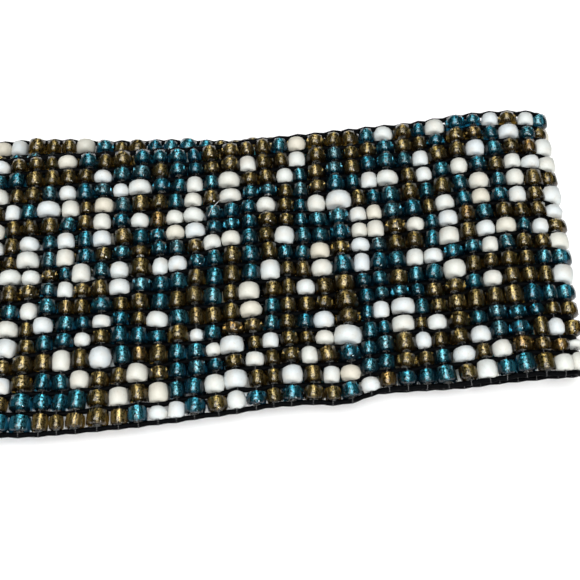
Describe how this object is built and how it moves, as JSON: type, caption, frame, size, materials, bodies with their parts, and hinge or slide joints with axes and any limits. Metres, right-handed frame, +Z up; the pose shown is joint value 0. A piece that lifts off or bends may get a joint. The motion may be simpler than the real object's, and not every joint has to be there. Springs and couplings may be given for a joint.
{
  "type": "beaded belt",
  "caption": "Wide woven seed-bead waist belt between waxed cords, closed by a bar clasp and lying flat as a folded loop.",
  "frame": {"origin": "middle of the underside of the belt as it lies flat", "axes": "+X along the belt to the fold that the picture shows, +Y across it, away from the viewer, +Z up"},
  "size_m": [0.3996, 0.0938, 0.0118],
  "materials": {
    "opaque_white_beads": "opaque off-white glass with a satin skin; some beads cream, some cooler, finely speckled",
    "teal_glass_beads": "transparent teal glass over a silvered hole, some smoky; a bright streak down the middle",
    "amber_glass_beads": "transparent amber glass over a silvered hole, some olive; a pale gold streak down the middle",
    "waxed_cord": "black waxed cord with a soft gloss",
    "clear_thread": "clear beading thread, thin and slightly shiny",
    "clasp_metal": "blackened metal bar with worn edges"
  },
  "bodies": {
    "root": {"beaded_band": "opaque_white_beads", "far_edge_cord": "waxed_cord", "near_edge_cord": "waxed_cord", "clasp": "clasp_metal"}
  },
  "joints": []
}
